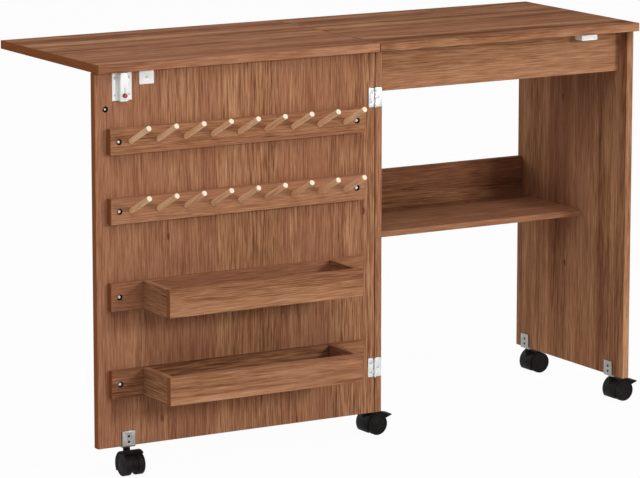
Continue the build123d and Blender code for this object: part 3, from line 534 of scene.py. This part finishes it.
def metal_material(name, shade, rough, low_shade=None, metallic=1.0):
    """Plated metal with a faint spangle, marks and uneven gloss, and another plating near the floor."""
    sizes = bpy.context.scene.sewing_pieces
    finish = new_finish(name)
    place = finish.axes("Object")
    spangle = finish.noise([axis * 420 for axis in place], 3.0, 0.7)
    marks = finish.noise([axis * 70 for axis in place], 4.0, 0.65)
    wear = finish.step(spangle * 0.5 + marks * 0.5, 0.3, 0.62)
    mixed = plating(finish, shade, wear)
    if low_shade is not None:
        high = finish.step(place[Z], sizes.blued_below, sizes.bright_above)
        mixed = finish.mix(plating(finish, low_shade, wear), mixed, high)
    gloss = (marks - 0.5) * 0.3 + (spangle - 0.5) * 0.1 + rough
    return finish.done(Base_Color=mixed, Metallic=metallic, Roughness=gloss,
                       Normal=finish.bump(spangle, 0.06, 0.0002))


def moulded_material(name, shade, rough, worn=0.12, gloss=0.5, side_shade=None):
    """Moulded plastic or enamel: fine texture, faint clouds, uneven gloss, and painted shade on the sides in
    a given side colour.
    """
    finish = new_finish(name)
    place = finish.axes("Object")
    grain = finish.noise([axis * 1600 for axis in place], 2.0)
    cloud = finish.noise([axis * 60 for axis in place], 4.0, 0.6)
    scuffed = [channel + (0.5 - channel) * worn for channel in shade]
    mixed = finish.mix(shade, scuffed, finish.step(cloud, 0.45, 0.75) * 0.6)
    # Painted shade: the faces that turn away from the front take the darker side colour
    if side_shade:
        mixed = finish.mix(side_shade, mixed, finish.step(abs(finish.axes("Normal")[Y]), 0.55, 0.85))
    return finish.done(Base_Color=mixed, Roughness=(cloud - 0.5) * 0.25 + (grain - 0.5) * 0.08 + rough,
                       Specular_IOR_Level=gloss, Normal=finish.bump(grain, 0.08, 0.0002))


def floor_material():
    """Pale floor that shows white to the camera and in reflections, and keeps a soft shadow."""
    sizes = bpy.context.scene.sewing_stage
    finish = new_finish("studio_floor")
    matte = finish.node("BsdfDiffuse", {}, {"Color": [sizes.floor_shade] * 3})
    glow = finish.node("Emission", {}, {"Color": (1.0, 1.0, 1.0), "Strength": 1.0})
    blend = finish.node("MixShader", {}, {0: seen_rays(finish) * sizes.floor_glow, 1: matte, 2: glow})
    finish.feed(finish.tree.nodes["Material Output"].inputs["Surface"], blend)
    return finish.owner


def deselect():
    """Leave object mode's selection empty."""
    if bpy.context.mode != "OBJECT":
        bpy.ops.object.mode_set(mode="OBJECT")
    bpy.ops.object.select_all(action="DESELECT")


def pick(piece):
    """Make one piece the only selected and active one."""
    deselect()
    piece.select_set(True)
    bpy.context.view_layer.objects.active = piece


def paint(piece, material):
    """Give a piece one material all over."""
    piece.data.materials.clear()
    piece.data.materials.append(material)


def paint_node(name, material):
    """Put a material on a carried-over piece."""
    for place in frame["nodes"][name].material_slots:
        place.material = material


def apply_modifiers(piece):
    """Apply every modifier of a piece."""
    pick(piece)
    for modifier in list(piece.modifiers):
        bpy.ops.object.modifier_apply(modifier=modifier.name)


def select_faces(piece, wanted):
    """Go to edit mode with only the faces selected that pass a test."""
    bpy.ops.object.mode_set(mode="EDIT")
    bpy.ops.mesh.select_mode(type="FACE")
    bpy.ops.mesh.select_all(action="DESELECT")
    bpy.ops.object.mode_set(mode="OBJECT")
    for face in piece.data.polygons:
        face.select = wanted(face)
    bpy.ops.object.mode_set(mode="EDIT")


def node_copy(node, name):
    """A merged copy of a carried-over piece's mesh, with flat faces made whole."""
    piece = bpy.data.objects.new(name, frame["nodes"][node].data.copy())
    bpy.context.scene.collection.objects.link(piece)
    pick(piece)
    bpy.ops.mesh.customdata_custom_splitnormals_clear()
    bpy.ops.object.mode_set(mode="EDIT")
    bpy.ops.mesh.select_all(action="SELECT")
    bpy.ops.mesh.remove_doubles(threshold=1e-6)
    bpy.ops.mesh.dissolve_limited(angle_limit=math.radians(0.5))
    bpy.ops.object.mode_set(mode="OBJECT")
    return piece


def ease(piece, width, segments=2, angle=40.0):
    """Round a piece's sharp edges and shade it smooth between them."""
    bevel = piece.modifiers.new("easing", "BEVEL")
    bevel.width = width
    bevel.segments = segments
    bevel.limit_method = "ANGLE"
    bevel.angle_limit = math.radians(angle)
    apply_modifiers(piece)
    bpy.ops.object.shade_smooth_by_angle(angle=math.radians(32))


def body_of(node):
    """The body that carries a node."""
    for body, nodes in frame["record"]["behaviour"]["bodies"].items():
        if node in nodes:
            return body
    raise ValueError("no body carries " + node)


def stand_for(piece, node, material):
    """Finish a piece that takes a node's place."""
    paint(piece, material)
    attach(piece, body_of(node))
    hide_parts(node)


def eased_piece(node, name, width, material, segments=2):
    """A copy of a node with eased edges that takes the node's place."""
    piece = node_copy(node, name)
    ease(piece, width, segments)
    stand_for(piece, node, material)
    return piece


def loose_solids(piece):
    """Vertex groups of a mesh that hang together, as lists of places."""
    mesh = piece.data
    parent = list(range(len(mesh.vertices)))

    def root(index):
        while parent[index] != index:
            parent[index] = parent[parent[index]]
            index = parent[index]
        return index

    for edge in mesh.edges:
        first, second = edge.vertices
        parent[root(first)] = root(second)
    groups = {}
    for vertex in mesh.vertices:
        groups.setdefault(root(vertex.index), []).append(vertex.co.copy())
    return [groups[key] for key in sorted(groups)]


def screw_head(points):
    """Middle of a screw's head face, the way it faces, and the head's radius."""
    low = Vector([min(p[axis] for p in points) for axis in range(3)])
    high = Vector([max(p[axis] for p in points) for axis in range(3)])
    size = high - low
    along = max(range(3), key=lambda axis: size[axis])
    middle = (low + high) / 2

    def reach(point):
        """Distance from the screw's own axis."""
        off = point - middle
        off[along] = 0.0
        return off.length

    radius = max(reach(point) for point in points)
    rim = [point[along] for point in points if reach(point) > 0.98 * radius]
    outward = 1.0 if sum(rim) / len(rim) > middle[along] else -1.0
    face = middle.copy()
    face[along] = high[along] if outward > 0 else low[along]
    facing = Vector([outward if axis == along else 0.0 for axis in range(3)])
    return face, facing, radius


def cross_cutter(face, facing, radius):
    """Two crossed wedges that cut a screwdriver cross into one head."""
    arms = []
    turn = facing.to_track_quat("Z", "Y").to_matrix().to_4x4()
    for quarter in range(2):
        deselect()
        bpy.ops.mesh.primitive_cube_add(size=1.0)
        arm = bpy.context.object
        bpy.ops.object.mode_set(mode="EDIT")
        bpy.ops.mesh.select_all(action="SELECT")
        bpy.ops.transform.resize(value=[radius * share for share in CROSS])
        select_faces(arm, lambda face: face.normal.z < -0.9)
        bpy.ops.transform.resize(value=(CROSS_TAPER, 1, 1))
        bpy.ops.object.mode_set(mode="OBJECT")
        spin = Matrix.Rotation(quarter * math.pi / 2, 4, "Z")
        arm.data.transform(Matrix.Translation(face) @ turn @ spin)
        arms.append(arm)
    return arms


def crossed_screws(node, name, material):
    """The node's screws with a cross recess cut into every head."""
    piece = node_copy(node, name)
    for head in [screw_head(points) for points in loose_solids(piece)]:
        for arm in cross_cutter(*head):
            cut = piece.modifiers.new("cross", "BOOLEAN")
            cut.operation = "DIFFERENCE"
            cut.solver = "EXACT"
            cut.object = arm
            pick(piece)
            bpy.ops.object.modifier_apply(modifier=cut.name)
            bpy.data.objects.remove(arm)
    pick(piece)
    bpy.ops.object.shade_smooth_by_angle(angle=math.radians(30))
    stand_for(piece, node, material)
    return piece


class SEWING_TABLE_OT_boards(bpy.types.Operator):
    """Put wood grain on every board"""

    bl_idname = "sewing_table.boards"
    bl_label = "Boards"

    def execute(self, context):
        places = sunk_screws()
        for seed, name in enumerate(BOARDS):
            paint_node(name, board_material(name, seed * 1.37 + 0.6, places))
        return {"FINISHED"}


class SEWING_TABLE_OT_pegs(bpy.types.Operator):
    """Stain the spool pegs and bare their ends"""

    bl_idname = "sewing_table.pegs"
    bl_label = "Spool pegs"

    def execute(self, context):
        material = peg_material()
        for rack in ("upper", "lower"):
            paint_node(rack + "_spool_pegs", material)
        return {"FINISHED"}


class SEWING_TABLE_OT_knob(bpy.types.Operator):
    """Round the wooden knob on the outer face of the door"""

    bl_idname = "sewing_table.knob"
    bl_label = "Door knob"

    def execute(self, context):
        sizes = context.scene.sewing_pieces
        eased_piece("door_knob", "turned_door_knob", sizes.turning, knob_material(), 4)
        return {"FINISHED"}


class SEWING_TABLE_OT_hinges(bpy.types.Operator):
    """Ease the plates of the door hinges and paint the leaf hinges"""

    bl_idname = "sewing_table.hinges"
    bl_label = "Hinges"

    def execute(self, context):
        colours = context.scene.sewing_hardware
        sizes = context.scene.sewing_pieces
        zinc = metal_material("hinge_zinc", colours.zinc, 0.3)
        brown = moulded_material("leaf_hinge_enamel", colours.brown, 0.5, 0.03, 0.2)
        eased_piece("door_hinge_cabinet_plates", "hinge_plates_cabinet", sizes.easing, zinc)
        eased_piece("door_hinge_door_plates", "hinge_plates_door", sizes.easing, zinc)
        paint_node("door_hinge_pins", zinc)
        for name in ("fixed_plates", "leaf_plates", "pins", "screws"):
            paint_node("leaf_hinge_" + name, brown)
        paint_node("leaf_bolt_cup", zinc)
        return {"FINISHED"}


class SEWING_TABLE_OT_latch(bpy.types.Operator):
    """Finish the thumb bolt, its plate, its knob and the strike plate"""

    bl_idname = "sewing_table.latch"
    bl_label = "Thumb bolt and strike"

    def execute(self, context):
        colours = context.scene.sewing_hardware
        sizes = context.scene.sewing_pieces
        enamel = moulded_material("white_enamel", colours.enamel, 0.3, 0.05)
        eased_piece("latch_cover", "bolt_plate", sizes.easing, enamel)
        eased_piece("strike_plate", "strike", sizes.easing, enamel)
        eased_piece("latch_bolt", "bolt", sizes.easing, enamel)
        eased_piece("latch_bolt_knob", "red_knob", sizes.moulding,
                    moulded_material("red_plastic", colours.red, 0.3, 0.08, 0.5, colours.red_side_shade), 3)
        return {"FINISHED"}


class SEWING_TABLE_OT_catch(bpy.types.Operator):
    """Finish the magnetic catch under the fixed top"""

    bl_idname = "sewing_table.catch"
    bl_label = "Magnetic catch"

    def execute(self, context):
        colours = context.scene.sewing_hardware
        sizes = context.scene.sewing_pieces
        eased_piece("catch_housing", "catch_case", sizes.moulding,
                    moulded_material("catch_plastic", colours.white, 0.38, 0.06), 3)
        paint_node("catch_magnet", moulded_material("ferrite", colours.ferrite, 0.6))
        paint_node("catch_pole_plates", metal_material("pole_zinc", colours.zinc, 0.35))
        return {"FINISHED"}


class SEWING_TABLE_OT_screws(bpy.types.Operator):
    """Cut a cross into every screw head but those of the leaf hinges"""

    bl_idname = "sewing_table.screws"
    bl_label = "Screws"

    def execute(self, context):
        colours = context.scene.sewing_hardware
        bright = metal_material("screw_nickel", colours.screw, 0.4, metallic=0.2)
        dull = metal_material("screw_dull", colours.dull_screw, 0.34, colours.blued)
        for node in ("panel_screws", "storage_screws"):
            crossed_screws(node, "crossed_" + node, bright)
        for node in ("cabinet_hardware_screws", "door_hardware_screws"):
            crossed_screws(node, "crossed_" + node, dull)
        return {"FINISHED"}


class SEWING_TABLE_OT_casters(bpy.types.Operator):
    """Model the wheels and finish the hoods, levers, axles and brackets"""

    bl_idname = "sewing_table.casters"
    bl_label = "Casters"

    def execute(self, context):
        colours = context.scene.sewing_hardware
        sizes = context.scene.sewing_pieces
        steel = metal_material("bracket_steel", colours.galvanised, 0.36)
        black = moulded_material("hood_nylon", colours.black, 0.5, 0.03, 0.06)
        tread = moulded_material("wheel_nylon", colours.tread, 0.5, 0.03, 0.06)
        for node in ("cabinet_caster_brackets", "door_caster_bracket"):
            eased_piece(node, "eased_" + node, sizes.easing, steel)
        for caster in CASTERS:
            eased_piece(caster + "_caster_hood", caster + "_hood", sizes.moulding, black, 3)
            paint_node(caster + "_caster_axle", steel)
            stand_for(self.wheel_pair(caster, sizes), caster + "_caster_wheels", tread)
        for caster in BRAKED:
            eased_piece(caster + "_brake_lever", caster + "_lever", sizes.moulding, black, 3)
        return {"FINISHED"}

    def wheel_pair(self, caster, sizes):
        """Two wheels, modelled once about a vertical axle and laid on the caster's own axle."""
        low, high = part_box(caster + "_caster_wheels")
        middle = (Vector(low) + Vector(high)) / 2
        radius = (high[Z] - low[Z]) / 2
        axle = X if caster == "door" else Y
        outer = (high[axle] - low[axle]) / 2
        wheel = self.wheel(caster + "_wheel_pair", radius, outer, sizes)
        twin = bpy.data.objects.new(caster + "_twin", wheel.data.copy())
        bpy.context.scene.collection.objects.link(twin)
        twin.data.transform(Matrix.Rotation(math.pi, 4, "X"))
        pick(wheel)
        twin.select_set(True)
        bpy.ops.object.join()
        lay = Matrix.Rotation(math.pi / 2, 4, "X")
        if axle == X:
            lay = Matrix.Rotation(math.pi / 2, 4, "Z") @ lay
        wheel.data.transform(Matrix.Translation(middle) @ lay)
        return wheel

    def wheel(self, name, radius, outer, sizes):
        """One wheel on the upright axis, its cover facing up at the height of the outer side."""
        deselect()
        width = sizes.wheel_width
        bpy.ops.mesh.primitive_cylinder_add(vertices=WHEEL_SIDES, radius=radius, depth=width,
                                            end_fill_type="NGON")
        wheel = bpy.context.object
        wheel.name = name
        bpy.ops.object.mode_set(mode="EDIT")
        bpy.ops.mesh.select_all(action="SELECT")
        bpy.ops.transform.translate(value=(0, 0, outer - width / 2))
        select_faces(wheel, lambda face: face.normal.z > 0.9)
        self.ring(sizes.rim + sizes.tread_round, 0.0)
        self.ring(sizes.lip, -sizes.cover_sink)
        heights = [math.sin(number / DOME_RINGS * math.pi / 2) for number in range(DOME_RINGS + 1)]
        for before, after in zip(heights, heights[1:]):
            self.ring(radius * DOME_RING, sizes.cover_dome * (after - before))
        bpy.ops.object.mode_set(mode="OBJECT")
        ease(wheel, sizes.tread_round, 4, 60.0)
        return wheel

    def ring(self, width, rise):
        """Inset the selected cover by a ring and move what is inside it."""
        bpy.ops.mesh.inset(thickness=width, depth=0.0)
        if rise:
            bpy.ops.transform.translate(value=(0, 0, rise))


class SEWING_TABLE_OT_stage(bpy.types.Operator):
    """Lay the floor, hang the lamps and set the camera"""

    bl_idname = "sewing_table.stage"
    bl_label = "Studio"

    def execute(self, context):
        sizes = context.scene.sewing_stage
        self.floor(sizes)
        self.world(sizes)
        low, high = cad_box
        aim = (Vector(low) + Vector(high)) / 2
        self.lamp("key_lamp", Vector(sizes.key_place), aim, sizes.key_size, sizes.key)
        self.lamp("top_lamp", Vector(sizes.top_place), aim, sizes.soft_size, sizes.top)
        self.lamp("rear_lamp", Vector(sizes.rear_place), aim, sizes.soft_size, sizes.rear)
        self.camera(sizes)
        context.scene.view_settings.view_transform = "Standard"
        return {"FINISHED"}

    def floor(self, sizes):
        deselect()
        bpy.ops.mesh.primitive_plane_add(size=sizes.floor, location=(0, 0, 0))
        floor = bpy.context.object
        floor.name = "studio_floor"
        paint(floor, floor_material())

    def world(self, sizes):
        """A white room: full white to the camera, in gloss and through glass, softer as light."""
        room = Finish(bpy.data.worlds.new("studio_room"))
        strength = room.node("MapRange", {}, {"Value": seen_rays(room), "To Min": sizes.ambient,
                                              "To Max": 1.0})
        background = room.tree.nodes["Background"]
        room.feed(background.inputs["Color"], (1.0, 1.0, 1.0))
        room.feed(background.inputs["Strength"], strength)
        bpy.context.scene.world = room.owner

    def lamp(self, name, place, aim, size, power):
        """A square soft lamp that looks at the table."""
        deselect()
        bpy.ops.object.light_add(type="AREA", location=place)
        lamp = bpy.context.object
        lamp.name = name
        lamp.rotation_euler = (aim - place).to_track_quat("-Z", "Y").to_euler()
        lamp.data.size = size
        lamp.data.energy = power

    def camera(self, sizes):
        deselect()
        bpy.ops.object.camera_add(location=sizes.place,
                                  rotation=(math.pi / 2 - sizes.pitch, 0, -sizes.yaw))
        camera = bpy.context.object
        camera.name = "photo_camera"
        camera.data.lens = sizes.lens
        camera.data.sensor_width = sizes.frame_width
        bpy.context.scene.camera = camera


OPERATORS = (
    SEWING_TABLE_OT_boards,
    SEWING_TABLE_OT_pegs,
    SEWING_TABLE_OT_knob,
    SEWING_TABLE_OT_hinges,
    SEWING_TABLE_OT_latch,
    SEWING_TABLE_OT_catch,
    SEWING_TABLE_OT_screws,
    SEWING_TABLE_OT_casters,
    SEWING_TABLE_OT_stage,
)

SETTINGS = {
    "sewing_boards": BoardFinish,
    "sewing_hardware": HardwareFinish,
    "sewing_pieces": PieceSizes,
    "sewing_stage": StageSizes,
}


class SEWING_TABLE_PT_sidebar(bpy.types.Panel):
    """Sizes, colours and pieces of the sewing table"""

    bl_idname = "SEWING_TABLE_PT_sidebar"
    bl_label = "Sewing table"
    bl_space_type = "VIEW_3D"
    bl_region_type = "UI"
    bl_category = "Sewing table"

    def draw(self, context):
        for name, group in SETTINGS.items():
            box = self.layout.box()
            box.label(text=group.__doc__)
            for setting in group.__annotations__:
                box.prop(getattr(context.scene, name), setting)
        for operator in OPERATORS:
            self.layout.operator(operator.bl_idname)


CLASSES = (*SETTINGS.values(), *OPERATORS, SEWING_TABLE_PT_sidebar)


def register():
    for made in CLASSES:
        bpy.utils.register_class(made)
    for name, group in SETTINGS.items():
        setattr(bpy.types.Scene, name, PointerProperty(type=group))


def unregister():
    for name in SETTINGS:
        delattr(bpy.types.Scene, name)
    for made in reversed(CLASSES):
        bpy.utils.unregister_class(made)


def main():
    register()
    for operator in OPERATORS:
        group, name = operator.bl_idname.split(".")
        getattr(getattr(bpy.ops, group), name)()


if __name__ == "__main__":
    main()
